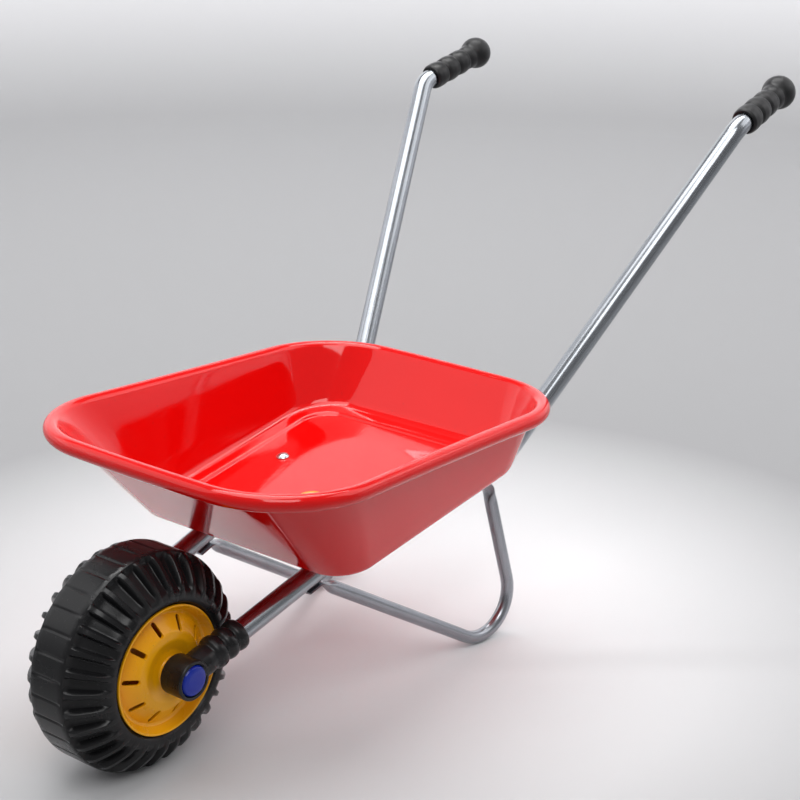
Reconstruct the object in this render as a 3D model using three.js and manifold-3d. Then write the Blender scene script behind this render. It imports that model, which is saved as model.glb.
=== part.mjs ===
// Child's wheelbarrow: a pressed tray with a rolled rim on two bent tubes, two V-shaped legs,
// one plastic wheel between two axle holders, and two ribbed ball-end grips.
// Millimetres. +Z is up, the wheel is at -Y, the grips are at +Y, and +X is the left-hand side
// of somebody who walks towards the wheel's front. The origin is under the middle of the object.
import * as THREE from 'three';
import { mergeVertices } from 'three/addons/utils/BufferGeometryUtils.js';
import { ParametricGeometry } from 'three/addons/geometries/ParametricGeometry.js';
import Module from 'manifold-3d';

const wasm = await Module();
wasm.setup();

// ---------------------------------------------------------------- driving dimensions
const GAP = 0.3; // clearance between pieces that touch

const WHEEL_RADIUS = 90;
const LUG_COUNT = 32;
const TREAD_HALF = 16.5; // half width of the plain band in the middle of the tread
const BEAD_RADIUS = 50; // outer radius of the rim barrel that the tyre sits on
const LIP_RADIUS = 52.8;
const LIP_X = 40; // outer face of the rim lip
const SLOT_COUNT = 10;
const HUB_END_X = 44.6; // outer end of the wheel hub
const SLEEVE_RADIUS = 6.2;
const AXLE_RADIUS = 4;

const TUBE_RADIUS = 9;
const TUBE_WALL = 1;
const LEG_RADIUS = 6;
const LEG_WALL = 1;
const TAB_HALF_WIDE = 8; // flattened end of a leg
const TAB_HALF_THICK = 1.1;
const RIVET_HOLE = 2.7;

const BOSS_RADIUS = 16.2;
const BOSS_INNER_X = 46;
const BOSS_OUTER_X = 67.6;
const CAP_RADIUS = 12.6;
const CAP_SEAT_X = 63.6;
const SOCKET_START = 19.7; // distance from the axle to the bottom of the tube socket
const SOCKET_END = 61;

const LABEL_Y = 212; // the middle of the floor label, behind the axle
const LABEL_RADIUS = 14;
const TRAY_SHEET = 1.5;
const CURL_RADIUS = 7; // outer radius of the rolled rim
const PANEL_DROP = 2.5; // the floor panel lies this far below the ledge around it
const PANEL_INSET = 17;

const GRIP_BALL_RADIUS = 16.5;
const GRIP_BALL_AT = 73; // from the mouth of the grip to the centre of the ball
const GRIP_BORE_DEPTH = 60;

// the line of the left tube: straight runs between four bend corners
const AXLE_POINT = new THREE.Vector3(55, 0, WHEEL_RADIUS);
const TRAY_FRONT_BEND = new THREE.Vector3(64.4, 191.7, 139.4);
const TRAY_REAR_BEND = new THREE.Vector3(88.2, 369.3, 163.8);
const GRIP_BEND = new THREE.Vector3(178.8, 597.2, 439.3);
const GRIP_MOUTH = new THREE.Vector3(178.3, 607.9, 441.9);
const GRIP_DIRECTION = new THREE.Vector3(-0.049, 0.971, 0.232).normalize();

// the tray: the floor outline, the rim outline, and how high each lies at its front and rear
const FLOOR = { front: 119.6, rear: 122.6, yFront: 119.6, yRear: 365, rFront: 32, rRear: 44 };
const FLOOR_Z = { front: 141.5, rear: 175.2 };
const RIM = { front: 153.7, rear: 146, yFront: 19.2, yRear: 399.7, rFront: 81.4, rRear: 77 };
const RIM_Z = { front: 240.9, rear: 221.3 };
const RIM_BOW = { side: -3, front: 4.4, rear: 3.2 };

// the foot corner of the left leg, below the ground before its bend is rounded
const FOOT_CORNER = new THREE.Vector3(104, 390.8, -36.2);
const FOOT_BEND = 37.05;
const FRONT_TAB_Y = 147;
const REAR_TAB_Y = 349;

const TRAY_BOLT_Y = 261;

const FRONT_END_Y = -WHEEL_RADIUS;
const REAR_END_Y = GRIP_MOUTH.y + GRIP_DIRECTION.y * GRIP_BALL_AT + GRIP_BALL_RADIUS;

// ---------------------------------------------------------------- finishes
const finish = (color, metalness, roughness) =>
  () => new THREE.MeshStandardMaterial({ color, metalness, roughness });
const redPaint = finish(0xd81010, 0.0, 0.18);
const chrome = finish(0xc9ccd0, 1.0, 0.16);
const zinc = finish(0xb9bcc0, 1.0, 0.35);
const blackPlastic = finish(0x17181a, 0.0, 0.45);
const tyrePlastic = finish(0x1c1d1f, 0.0, 0.5);
const yellowPlastic = finish(0xe39a0c, 0.0, 0.38);
const bluePlastic = finish(0x1f3fae, 0.0, 0.3);
const naturalPlastic = finish(0xe6e3d8, 0.0, 0.5);
const labelPaper = finish(0xf0b52a, 0.0, 0.4);

// ---------------------------------------------------------------- solids
// Welds a geometry into one closed shell and drops its zero-area triangles.
function weld(geometry) {
  const bare = geometry.clone();
  for (const name of Object.keys(bare.attributes)) {
    if (name !== 'position') bare.deleteAttribute(name);
  }
  const merged = mergeVertices(bare, 1e-3);
  const index = merged.index.array;
  const kept = [];
  for (let i = 0; i < index.length; i += 3) {
    const [a, b, c] = [index[i], index[i + 1], index[i + 2]];
    if (a !== b && b !== c && c !== a) kept.push(a, b, c);
  }
  merged.setIndex(kept);
  return merged;
}

// Six times the signed volume of a welded geometry: negative when its faces point inwards.
function signedVolume(geometry) {
  const p = geometry.attributes.position;
  const index = geometry.index.array;
  const [a, b, c] = [new THREE.Vector3(), new THREE.Vector3(), new THREE.Vector3()];
  let sum = 0;
  for (let i = 0; i < index.length; i += 3) {
    a.fromBufferAttribute(p, index[i]);
    b.fromBufferAttribute(p, index[i + 1]);
    c.fromBufferAttribute(p, index[i + 2]);
    sum += a.dot(b.cross(c));
  }
  return sum;
}

function outward(geometry) {
  const shell = weld(geometry);
  if (signedVolume(shell) < 0) {
    const index = shell.index.array;
    for (let i = 0; i < index.length; i += 3) {
      const second = index[i + 1];
      index[i + 1] = index[i + 2];
      index[i + 2] = second;
    }
  }
  shell.computeVertexNormals();
  return shell;
}

function toManifold(geometry) {
  const shell = outward(geometry);
  const vertProperties = new Float32Array(shell.attributes.position.array);
  const triVerts = new Uint32Array(shell.index.array);
  return new wasm.Manifold(new wasm.Mesh({ numProp: 3, vertProperties, triVerts }));
}

function fromManifold(solid) {
  const mesh = solid.getMesh();
  const geometry = new THREE.BufferGeometry();
  geometry.setAttribute('position', new THREE.BufferAttribute(mesh.vertProperties, 3));
  geometry.setIndex(new THREE.BufferAttribute(mesh.triVerts, 1));
  geometry.computeVertexNormals();
  return geometry;
}

// Joins every geometry of one list and cuts every geometry of the other from it.
function carve(joined, cut) {
  let solid = toManifold(joined[0]);
  for (const geometry of joined.slice(1)) solid = solid.add(toManifold(geometry));
  for (const geometry of cut) solid = solid.subtract(toManifold(geometry));
  return fromManifold(solid);
}

// Turns a geometry made around +Y so that +Y becomes the given direction, and moves it.
function place(geometry, origin, direction) {
  const turn = new THREE.Quaternion();
  turn.setFromUnitVectors(new THREE.Vector3(0, 1, 0), direction.clone().normalize());
  return geometry.applyQuaternion(turn).translate(origin.x, origin.y, origin.z);
}

// A turned piece: pairs of distance along the axis and radius, from the axis back to the axis.
function turned(profile, segments, origin, direction) {
  const points = profile.map(([along, radius]) => new THREE.Vector2(radius, along));
  return place(new THREE.LatheGeometry(points, segments), origin, direction);
}

// A plain round rod between two distances along an axis.
function rod(radius, from, to, segments, origin, direction) {
  return turned([[from, 0], [from, radius], [to, radius], [to, 0]], segments, origin, direction);
}

function part(name, geometry, material) {
  const mesh = new THREE.Mesh(geometry, material());
  mesh.name = name;
  return mesh;
}

// The same piece on the other side of the middle plane.
function mirrored(geometry) {
  return outward(geometry.clone().scale(-1, 1, 1));
}

function pair(name, geometry, material) {
  return [
    part(`${name}_left`, geometry, material),
    part(`${name}_right`, mirrored(geometry), material),
  ];
}

// ---------------------------------------------------------------- bent lines
// Stations along a line of straight runs whose corners are rounded: a point and a tangent each.
function bentLine(corners, radii, steps) {
  const stations = [];
  const last = corners.length - 1;
  const run = (i) => corners[i + 1].clone().sub(corners[i]).normalize();
  stations.push({ point: corners[0].clone(), tangent: run(0) });
  for (let i = 1; i < last; i++) {
    const before = run(i - 1);
    const after = run(i);
    const turn = before.angleTo(after);
    const reach = radii[i - 1] * Math.tan(turn / 2);
    const inwards = after.clone().sub(before).normalize();
    const centre = corners[i].clone();
    centre.addScaledVector(inwards, radii[i - 1] / Math.cos(turn / 2));
    const start = corners[i].clone().addScaledVector(before, -reach);
    const axis = before.clone().cross(after).normalize();
    for (let k = 0; k <= steps[i - 1]; k++) {
      const angle = (turn * k) / steps[i - 1];
      const point = start.clone().sub(centre).applyAxisAngle(axis, angle).add(centre);
      stations.push({ point, tangent: before.clone().applyAxisAngle(axis, angle) });
    }
  }
  stations.push({ point: corners[last].clone(), tangent: run(last - 1) });
  return stations;
}

// A curve through given stations, which an extrusion follows one step per station.
class StationCurve extends THREE.Curve {
  constructor(stations) {
    super();
    this.stations = stations;
  }
  station(u) {
    return this.stations[Math.round(u * (this.stations.length - 1))];
  }
  getPoint(t, target = new THREE.Vector3()) {
    return target.copy(this.station(t).point);
  }
  getPointAt(u, target = new THREE.Vector3()) {
    return this.getPoint(u, target);
  }
  getTangent(t, target = new THREE.Vector3()) {
    return target.copy(this.station(t).tangent);
  }
  getTangentAt(u, target = new THREE.Vector3()) {
    return this.getTangent(u, target);
  }
}

function bentRod(stations, radius, curveSegments) {
  const disc = new THREE.Shape().absarc(0, 0, radius, 0, Math.PI * 2, false);
  const extrudePath = new StationCurve(stations);
  const options = { steps: stations.length - 1, curveSegments, extrudePath, bevelEnabled: false };
  return new THREE.ExtrudeGeometry(disc, options);
}

// ---------------------------------------------------------------- tray
const floorHeight = (y) => {
  const t = (y - FLOOR.yFront) / (FLOOR.yRear - FLOOR.yFront);
  return THREE.MathUtils.lerp(FLOOR_Z.front, FLOOR_Z.rear, t);
};
const FLOOR_SLOPE = (FLOOR_Z.rear - FLOOR_Z.front) / (FLOOR.yRear - FLOOR.yFront);
const FLOOR_UP = new THREE.Vector3(0, -FLOOR_SLOPE, 1).normalize();

const CORNER_STEPS = 5;
const SIDE_STEPS = 4;
const OUTLINE_STEPS = 4 * (CORNER_STEPS + SIDE_STEPS);

// A point and its outward direction on a rounded outline. Step 0 starts the rear left corner.
function outlineAt(step, box) {
  const sector = Math.floor(step / (CORNER_STEPS + SIDE_STEPS)) % 4;
  const within = step % (CORNER_STEPS + SIDE_STEPS);
  const corner = (index) => {
    const rear = index === 0 || index === 1;
    const sideSign = index === 0 || index === 3 ? 1 : -1;
    const radius = rear ? box.rRear : box.rFront;
    const half = rear ? box.rear : box.front;
    const y = rear ? box.yRear - radius : box.yFront + radius;
    return { centre: new THREE.Vector2(sideSign * (half - radius), y), radius };
  };
  const onCorner = (index, k) => {
    const { centre, radius } = corner(index);
    const angle = (Math.PI / 2) * (index + k / CORNER_STEPS);
    const normal = new THREE.Vector2(Math.cos(angle), Math.sin(angle));
    return { point: centre.clone().addScaledVector(normal, radius), normal };
  };
  if (within <= CORNER_STEPS) return onCorner(sector, within);
  const t = (within - CORNER_STEPS) / SIDE_STEPS;
  const from = onCorner(sector, CORNER_STEPS);
  const to = onCorner((sector + 1) % 4, 0);
  return { point: from.point.lerp(to.point, t), normal: from.normal };
}

// The rim outline bows a little out at the front and rear, and in along the sides.
function rimAt(step) {
  const { point, normal } = outlineAt(step, RIM);
  const t = (point.y - RIM.yFront) / (RIM.yRear - RIM.yFront);
  const across = point.x / THREE.MathUtils.lerp(RIM.front, RIM.rear, t);
  const middle = Math.max(0, 1 - across * across);
  point.x += RIM_BOW.side * 4 * t * (1 - t) * across;
  point.y += middle * (RIM_BOW.rear * t - RIM_BOW.front * (1 - t));
  return { point, normal, height: THREE.MathUtils.lerp(RIM_Z.front, RIM_Z.rear, t) };
}

const CURL_JOIN = THREE.MathUtils.degToRad(140); // where the wall runs into the rolled rim
const CURL_END = THREE.MathUtils.degToRad(-150);
const CURL_STEPS = 6;

// One ring of the sheet: on the floor (offset from its outline and lift above the ledge),
// or on the rolled rim (angle round the roll and radius of the roll's inner or outer face).
function sheetPoint(station, step) {
  if (station.angle !== undefined) {
    const rim = rimAt(step);
    const out = Math.cos(station.angle) * station.radius;
    const up = Math.sin(station.angle) * station.radius;
    const flat = rim.point.addScaledVector(rim.normal, out);
    return new THREE.Vector3(flat.x, flat.y, rim.height + up);
  }
  const { point, normal } = outlineAt(step, FLOOR);
  point.addScaledVector(normal, station.offset);
  return new THREE.Vector3(point.x, point.y, floorHeight(point.y) + station.lift);
}

function trayGeometry() {
  const floorRings = [
    { offset: -PANEL_INSET, lift: -PANEL_DROP },
    { offset: -PANEL_INSET + 3, lift: 0 },
    { offset: -3, lift: 0 },
    { offset: 0.2, lift: 1.2 },
    { offset: 2.2, lift: 4.4 },
  ];
  const above = ({ offset, lift }) => ({ offset: offset - 0.6, lift: lift + TRAY_SHEET });
  const curl = (radius) => {
    const rings = [];
    for (let k = 0; k <= CURL_STEPS; k++) {
      rings.push({ angle: THREE.MathUtils.lerp(CURL_JOIN, CURL_END, k / CURL_STEPS), radius });
    }
    return rings;
  };
  const under = [...floorRings, ...curl(CURL_RADIUS - TRAY_SHEET)];
  const over = [...floorRings.map(above), ...curl(CURL_RADIUS)];
  const rings = [...under, ...over.reverse()];
  const centreY = (FLOOR.yFront + FLOOR.yRear) / 2;
  const stacks = rings.length + 1;
  const surface = (u, v, target) => {
    const ring = Math.round(v * stacks);
    const step = Math.round(u * OUTLINE_STEPS) % OUTLINE_STEPS;
    if (ring === 0) target.set(0, centreY, floorHeight(centreY) - PANEL_DROP);
    else if (ring === stacks) {
      target.set(0, centreY, floorHeight(centreY) - PANEL_DROP + TRAY_SHEET);
    } else target.copy(sheetPoint(rings[ring - 1], step));
  };
  return new ParametricGeometry(surface, OUTLINE_STEPS, stacks);
}

// The point of the tube's centre line at a given y, between the two bends under the tray.
function underTray(y) {
  const t = (y - TRAY_FRONT_BEND.y) / (TRAY_REAR_BEND.y - TRAY_FRONT_BEND.y);
  return TRAY_FRONT_BEND.clone().lerp(TRAY_REAR_BEND, t);
}

const TRAY_BOLT_POINT = underTray(TRAY_BOLT_Y);
const PANEL_TOP = floorHeight(TRAY_BOLT_Y) - PANEL_DROP + TRAY_SHEET - TRAY_BOLT_POINT.z;

function tray() {
  const holes = [1, -1].map((side) => {
    const at = TRAY_BOLT_POINT.clone().multiply(new THREE.Vector3(side, 1, 1));
    return rod(RIVET_HOLE, 0, 30, 10, at, FLOOR_UP);
  });
  return part('tray', carve([trayGeometry()], holes), redPaint);
}

// A plain round label stuck in the middle of the floor.
function floorLabel() {
  const centre = new THREE.Vector3(0, LABEL_Y, floorHeight(LABEL_Y) - PANEL_DROP + TRAY_SHEET);
  return part('floor_label', outward(rod(LABEL_RADIUS, GAP, GAP + 0.5, 24, centre, FLOOR_UP)), labelPaper);
}

// A dome-headed bolt goes down through the floor and the tube into a nut.
function trayBolts() {
  const under = -(TUBE_RADIUS + GAP);
  const top = PANEL_TOP + GAP;
  const bolt = turned([
    [under - 8, 0], [under - 8, 2.4], [top, 2.4], [top, 5.6], [top + 1.1, 5.3], [top + 2.5, 3.4],
    [top + 3.1, 0],
  ], 12, TRAY_BOLT_POINT, FLOOR_UP);
  const nut = turned([
    [under - 4.8, 3.2], [under - 4.8, 5.2], [under, 5.2], [under, 3.2], [under - 4.8, 3.2],
  ], 6, TRAY_BOLT_POINT, FLOOR_UP);
  return [
    ...pair('tray_bolt', outward(bolt), zinc),
    ...pair('tray_nut', outward(nut), zinc),
  ];
}

// ---------------------------------------------------------------- frame tubes
const FRONT_RUN = TRAY_FRONT_BEND.clone().sub(AXLE_POINT).normalize();
const TUBE_END = GRIP_MOUTH.clone().addScaledVector(GRIP_DIRECTION, GRIP_BORE_DEPTH - 2);
const TUBE_STATIONS = bentLine([
  AXLE_POINT.clone().addScaledVector(FRONT_RUN, SOCKET_START + GAP),
  TRAY_FRONT_BEND,
  TRAY_REAR_BEND,
  GRIP_BEND,
  TUBE_END,
], [140, 38, 27], [2, 4, 4]);

// The direction from a tube's underside towards its centre line, square to the tube.
function tubeUp(run) {
  const across = new THREE.Vector3(0, 0, 1).cross(run).normalize();
  return run.clone().cross(across).normalize();
}

// ---------------------------------------------------------------- legs
const UNDER_RUN = TRAY_REAR_BEND.clone().sub(TRAY_FRONT_BEND).normalize();
const TAB_DROP = TUBE_RADIUS + GAP + TAB_HALF_THICK;
const onFrontRun = (y) => AXLE_POINT.clone().addScaledVector(FRONT_RUN, y / FRONT_RUN.y);

const TABS = [
  { name: 'front', centre: onFrontRun, run: FRONT_RUN, bendY: FRONT_TAB_Y, tipY: 131, rivetY: 137 },
  { name: 'rear', centre: underTray, run: UNDER_RUN, bendY: REAR_TAB_Y, tipY: 327, rivetY: 333.5 },
];

// A point on the middle of a tab, which lies flat along the underside of the tube.
function tabPoint(tab, y) {
  return tab.centre(y).addScaledVector(tubeUp(tab.run), -TAB_DROP);
}

// A round or flattened tube swept along its stations. Each station carries its half sizes.
function sweptSection(stations, sides, shrink) {
  const stacks = stations.length + 1;
  const surface = (u, v, target) => {
    const ring = Math.round(v * stacks);
    const index = THREE.MathUtils.clamp(ring - 1, 0, stations.length - 1);
    const { point, tangent, wide, thick } = stations[index];
    target.copy(point);
    if (ring === 0 || ring === stacks) return;
    const across = new THREE.Vector3(0, 0, 1).cross(tangent).normalize();
    if (tangent.y < 0) across.negate();
    const up = tangent.clone().cross(across).normalize();
    const angle = (Math.round(u * sides) % sides) * ((2 * Math.PI) / sides);
    target.addScaledVector(across, Math.cos(angle) * (wide - shrink));
    target.addScaledVector(up, Math.sin(angle) * (thick - shrink));
  };
  return new ParametricGeometry(surface, sides, stacks);
}

// The leg runs from its front tab down to the foot bend and up to its rear tab.
function legStations() {
  const corners = [
    tabPoint(TABS[0], TABS[0].tipY),
    tabPoint(TABS[0], TABS[0].bendY),
    FOOT_CORNER,
    tabPoint(TABS[1], TABS[1].bendY),
    tabPoint(TABS[1], TABS[1].tipY),
  ];
  const line = bentLine(corners, [9, FOOT_BEND, 9], [3, 7, 4]);
  const roundFrom = 16; // length over which a flattened end becomes round
  const [frontBend, rearBend] = [line[4], line[line.length - 6]];
  const into = (station, sign) => ({
    point: station.point.clone().addScaledVector(station.tangent, sign * roundFrom),
    tangent: station.tangent.clone(),
  });
  const middle = line.slice(5, line.length - 6);
  const round = [into(frontBend, 1), ...middle, into(rearBend, -1)];
  const flat = (s) => ({ ...s, wide: TAB_HALF_WIDE, thick: TAB_HALF_THICK });
  const full = (s) => ({ ...s, wide: LEG_RADIUS, thick: LEG_RADIUS });
  return {
    all: [
      ...line.slice(0, 5).map(flat),
      ...round.map(full),
      ...line.slice(line.length - 6).map(flat),
    ],
    bore: round.map(full),
  };
}

function rivetHoles() {
  return TABS.map((tab) => {
    return rod(RIVET_HOLE, -TAB_DROP - 8, -2, 10, tab.centre(tab.rivetY), tubeUp(tab.run));
  });
}

function legs() {
  const { all, bore } = legStations();
  const last = bore.length - 1;
  const drain = rod(1.5, -2, LEG_RADIUS + 4, 8, bore[last].point, new THREE.Vector3(-1, 0, 0));
  const cuts = [sweptSection(bore, 8, LEG_WALL), drain, ...rivetHoles()];
  return pair('leg', carve([sweptSection(all, 12, 0)], cuts), chrome);
}

// A rivet holds each tab: a low round head below, and a bulged end inside the tube.
function legRivets() {
  return TABS.flatMap((tab) => {
    const head = -(TAB_DROP + TAB_HALF_THICK + GAP);
    const rivet = turned([
      [head - 1.3, 0], [head - 1.1, 3.2], [head, 4.6], [head, 2.4], [-6.7, 2.4], [-6.7, 3.2],
      [-5.4, 3.4], [-4.6, 0],
    ], 10, tab.centre(tab.rivetY), tubeUp(tab.run));
    return pair(`leg_rivet_${tab.name}`, outward(rivet), zinc);
  });
}

function frameTubes() {
  const bore = TUBE_STATIONS.map(({ point, tangent }) => ({ point: point.clone(), tangent }));
  bore[0].point.addScaledVector(bore[0].tangent, -1);
  bore[bore.length - 1].point.addScaledVector(bore[bore.length - 1].tangent, 1);
  const boltHole = rod(RIVET_HOLE, -20, 20, 10, TRAY_BOLT_POINT, FLOOR_UP);
  const cuts = [bentRod(bore, TUBE_RADIUS - TUBE_WALL, 4), boltHole, ...rivetHoles()];
  return pair('frame_tube', carve([bentRod(TUBE_STATIONS, TUBE_RADIUS, 7)], cuts), chrome);
}

// ---------------------------------------------------------------- grips
// Flared mouth, two bulged rings and a ball, around a blind bore for the tube.
function grips() {
  const ball = [-130, -105, -80, -50, -15, 20].map((degrees) => {
    const angle = THREE.MathUtils.degToRad(degrees + 40);
    return [GRIP_BALL_AT + Math.sin(angle) * GRIP_BALL_RADIUS, Math.cos(angle) * GRIP_BALL_RADIUS];
  });
  const bore = TUBE_RADIUS + GAP;
  const profile = [
    [GRIP_BORE_DEPTH, 0], [GRIP_BORE_DEPTH, bore], [0, bore], [0, 11.2], [7, 12.8], [14, 12.2],
    [18, 10.8], [22, 12.1], [27, 12.6], [32, 12.1], [36, 10.8], [40, 11.9], [44.5, 12.3],
    [49, 11.8], [53, 10.8], [58, 12.2], ...ball.slice(2), [GRIP_BALL_AT + GRIP_BALL_RADIUS, 0],
  ];
  return pair('grip', outward(turned(profile, 14, GRIP_MOUTH, GRIP_DIRECTION)), blackPlastic);
}

// ---------------------------------------------------------------- axle and holders
const X_AXIS = new THREE.Vector3(1, 0, 0);
const AXLE_CENTRE = new THREE.Vector3(0, 0, WHEEL_RADIUS);

// The boss takes the axle and its cap, and the ribbed arm takes the front end of the tube.
function axleHolders() {
  const boss = turned([
    [BOSS_INNER_X, 0], [BOSS_INNER_X, BOSS_RADIUS - 0.6], [BOSS_INNER_X + 1, BOSS_RADIUS],
    [BOSS_OUTER_X - 1, BOSS_RADIUS], [BOSS_OUTER_X, BOSS_RADIUS - 1], [BOSS_OUTER_X, 0],
  ], 20, AXLE_CENTRE, X_AXIS);
  const ribs = [31.5, 43.5, 55.5].flatMap((s) => [[s, 11.4], [s + 1, 13], [s + 4, 13], [s + 5, 11.4]]);
  const arm = turned([
    [11, 0], [11, 11.4], ...ribs, [SOCKET_END, 10.9], [SOCKET_END, 0],
  ], 16, AXLE_POINT, FRONT_RUN);
  const cuts = [
    rod(AXLE_RADIUS + GAP, BOSS_INNER_X - 2, BOSS_OUTER_X + 2, 14, AXLE_CENTRE, X_AXIS),
    rod(CAP_RADIUS + 0.6, CAP_SEAT_X, BOSS_OUTER_X + 2, 18, AXLE_CENTRE, X_AXIS),
    rod(TUBE_RADIUS + GAP, SOCKET_START, SOCKET_END + 2, 14, AXLE_POINT, FRONT_RUN),
  ];
  return pair('axle_holder', carve([boss, arm], cuts), blackPlastic);
}

function axle() {
  const end = CAP_SEAT_X + 2.2;
  return part('axle', outward(rod(AXLE_RADIUS, -end, end, 14, AXLE_CENTRE, X_AXIS)), zinc);
}

// Domed caps press onto the ends of the axle inside the recess of each holder.
function axleCaps() {
  const seat = CAP_SEAT_X + GAP;
  const socket = AXLE_RADIUS + GAP;
  const cap = turned([
    [seat + 2.6, 0], [seat + 2.6, socket], [seat, socket], [seat, CAP_RADIUS],
    [seat + 2.6, CAP_RADIUS], [seat + 4, 10.6], [seat + 5, 6.4], [seat + 5.3, 0],
  ], 18, AXLE_CENTRE, X_AXIS);
  return pair('axle_cap', outward(cap), bluePlastic);
}

function hubWashers() {
  const [from, to] = [HUB_END_X + GAP, BOSS_INNER_X - GAP];
  const inner = AXLE_RADIUS + GAP;
  const washer = turned([[from, inner], [from, 9], [to, 9], [to, inner], [from, inner]],
    16, AXLE_CENTRE, X_AXIS);
  return pair('hub_washer', outward(washer), zinc);
}

// ---------------------------------------------------------------- wheel
function hubSleeve() {
  const inner = AXLE_RADIUS + GAP;
  const end = HUB_END_X;
  const sleeve = turned([
    [-end, inner], [-end, SLEEVE_RADIUS], [end, SLEEVE_RADIUS], [end, inner], [-end, inner],
  ], 16, AXLE_CENTRE, X_AXIS);
  return part('hub_sleeve', outward(sleeve), naturalPlastic);
}

// One rim half: hub tube, web that cones outwards and has radial slots, trough, lip and barrel.
function rimHalves() {
  const bore = SLEEVE_RADIUS + GAP;
  const web = turned([
    [GAP / 2, bore], [HUB_END_X, bore], [HUB_END_X, 10.5], [40.6, 11.6], [39.6, 17], [42.3, 25.5],
    [41.3, 32], [31.5, 44.8], [32.3, 47.2], [LIP_X, LIP_RADIUS - 1.4], [LIP_X, LIP_RADIUS],
    [LIP_X - 2, LIP_RADIUS], [33.5, BEAD_RADIUS], [GAP / 2, BEAD_RADIUS],
    [GAP / 2, BEAD_RADIUS - 2], [30, BEAD_RADIUS - 2], [30, 44.2], [39.4, 31.4], [40.6, 25.6],
    [37.9, 17.5], [37.9, 9], [GAP / 2, 9], [GAP / 2, bore],
  ], 24, AXLE_CENTRE, X_AXIS);
  const slots = [];
  for (let i = 0; i < SLOT_COUNT; i++) {
    const angle = (i * 2 * Math.PI) / SLOT_COUNT + THREE.MathUtils.degToRad(6);
    const slot = new THREE.BoxGeometry(16, 11.4, 3.4);
    slot.translate(38, 37.2, 0).rotateX(Math.PI - angle);
    slots.push(slot.translate(0, 0, WHEEL_RADIUS));
  }
  return pair('wheel_rim', carve([web], slots), yellowPlastic);
}

// The tyre is a hollow moulding, open towards the rim: a plain band, and lugs on each shoulder.
// Each station is a distance from the middle plane and a radius, in a groove and on a lug.
// Half a step of turn puts a flat of the band on the ground.
function tyre() {
  const seat = BEAD_RADIUS + GAP;
  const outer = [
    { x: 33, r: seat }, { x: LIP_X - 2.2, r: LIP_RADIUS + 0.5 }, { x: LIP_X + 0.6, r: 55 },
    { x: LIP_X + 0.4, r: 62 }, { x: 38.4, r: 66.2 }, { x: 33, r: 72, lugX: 35, lugR: 73.2 },
    { x: 27.5, r: 79, lugX: 29.6, lugR: 81 }, { x: 21, r: 84.4, lugX: 22.4, lugR: 88 },
    { x: TREAD_HALF - 0.5, r: WHEEL_RADIUS },
  ];
  const inner = [{ x: 12, r: 86.4 }, { x: 31, r: 70 }];
  const flipped = [...outer, ...inner.slice().reverse()].reverse().map((station) => {
    const lugX = station.lugX === undefined ? undefined : -station.lugX;
    return { ...station, x: -station.x, lugX };
  });
  const loop = [...outer, ...flipped.slice(inner.length), ...flipped.slice(0, inner.length)];
  loop.push(...inner);
  const lugSteps = 2;
  const slices = LUG_COUNT * lugSteps;
  const surface = (u, v, target) => {
    const station = loop[Math.round(v * loop.length) % loop.length];
    const step = Math.round(u * slices) % slices;
    const onLug = station.lugX !== undefined && step % lugSteps === 1;
    const radius = onLug ? station.lugR : station.r;
    const angle = (2 * Math.PI * (step + 0.5)) / slices;
    target.set(onLug ? station.lugX : station.x, Math.cos(angle), Math.sin(angle));
    target.y *= radius;
    target.z *= radius;
  };
  const geometry = new ParametricGeometry(surface, slices, loop.length);
  geometry.translate(0, 0, WHEEL_RADIUS);
  return part('tyre', outward(geometry), tyrePlastic);
}

// ---------------------------------------------------------------- the whole object
const barrow = new THREE.Group();
barrow.add(
  tray(), floorLabel(), ...trayBolts(), ...frameTubes(), ...legs(), ...legRivets(), ...grips(),
  ...axleHolders(), axle(), ...axleCaps(), ...hubWashers(), hubSleeve(), ...rimHalves(), tyre(),
);
barrow.position.y = -(FRONT_END_Y + REAR_END_Y) / 2;

export default barrow;
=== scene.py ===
"""A child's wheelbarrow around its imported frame: enamelled tray, plated tubes and legs, one wheel."""

import math

import bmesh
import bpy
import numpy as np
from mathutils import Matrix, Vector


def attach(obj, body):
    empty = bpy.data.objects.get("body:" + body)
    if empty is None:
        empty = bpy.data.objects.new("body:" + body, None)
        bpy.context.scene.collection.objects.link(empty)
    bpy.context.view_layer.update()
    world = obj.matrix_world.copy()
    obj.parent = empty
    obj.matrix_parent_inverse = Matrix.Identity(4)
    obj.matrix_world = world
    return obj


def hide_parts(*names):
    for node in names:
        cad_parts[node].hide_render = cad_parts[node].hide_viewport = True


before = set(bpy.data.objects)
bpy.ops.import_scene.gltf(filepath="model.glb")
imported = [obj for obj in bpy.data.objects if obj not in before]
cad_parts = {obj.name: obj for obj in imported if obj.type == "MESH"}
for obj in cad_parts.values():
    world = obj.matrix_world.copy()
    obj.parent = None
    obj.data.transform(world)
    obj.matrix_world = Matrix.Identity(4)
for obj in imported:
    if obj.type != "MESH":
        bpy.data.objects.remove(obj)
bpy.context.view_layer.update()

# ---------------------------------------------------------------- Camera
# The camera stands in front and to the wheelbarrow's left, a little above the handles, and looks
# down at the tray. Its place is in the frame's metres.
CAMERA_PLACE = Vector((0.96703, -1.19309, 0.76877))
CAMERA_RIGHT = Vector((0.7824, 0.6227, 0.0067))
CAMERA_UP = Vector((-0.2150, 0.2599, 0.9414))

camera_data = bpy.data.cameras.new("camera")
camera_data.sensor_width = 36.0
camera_data.lens = 83.42
camera_data.shift_x = 0.0039
camera_data.shift_y = 0.0002
camera_data.clip_end = 40.0
camera = bpy.data.objects.new("camera", camera_data)
bpy.context.scene.collection.objects.link(camera)
right = CAMERA_RIGHT.normalized()
back = right.cross(CAMERA_UP).normalized()
up = back.cross(right)
camera.matrix_world = Matrix.Translation(CAMERA_PLACE) @ Matrix((right, up, back)).transposed().to_4x4()
bpy.context.scene.camera = camera

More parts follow.
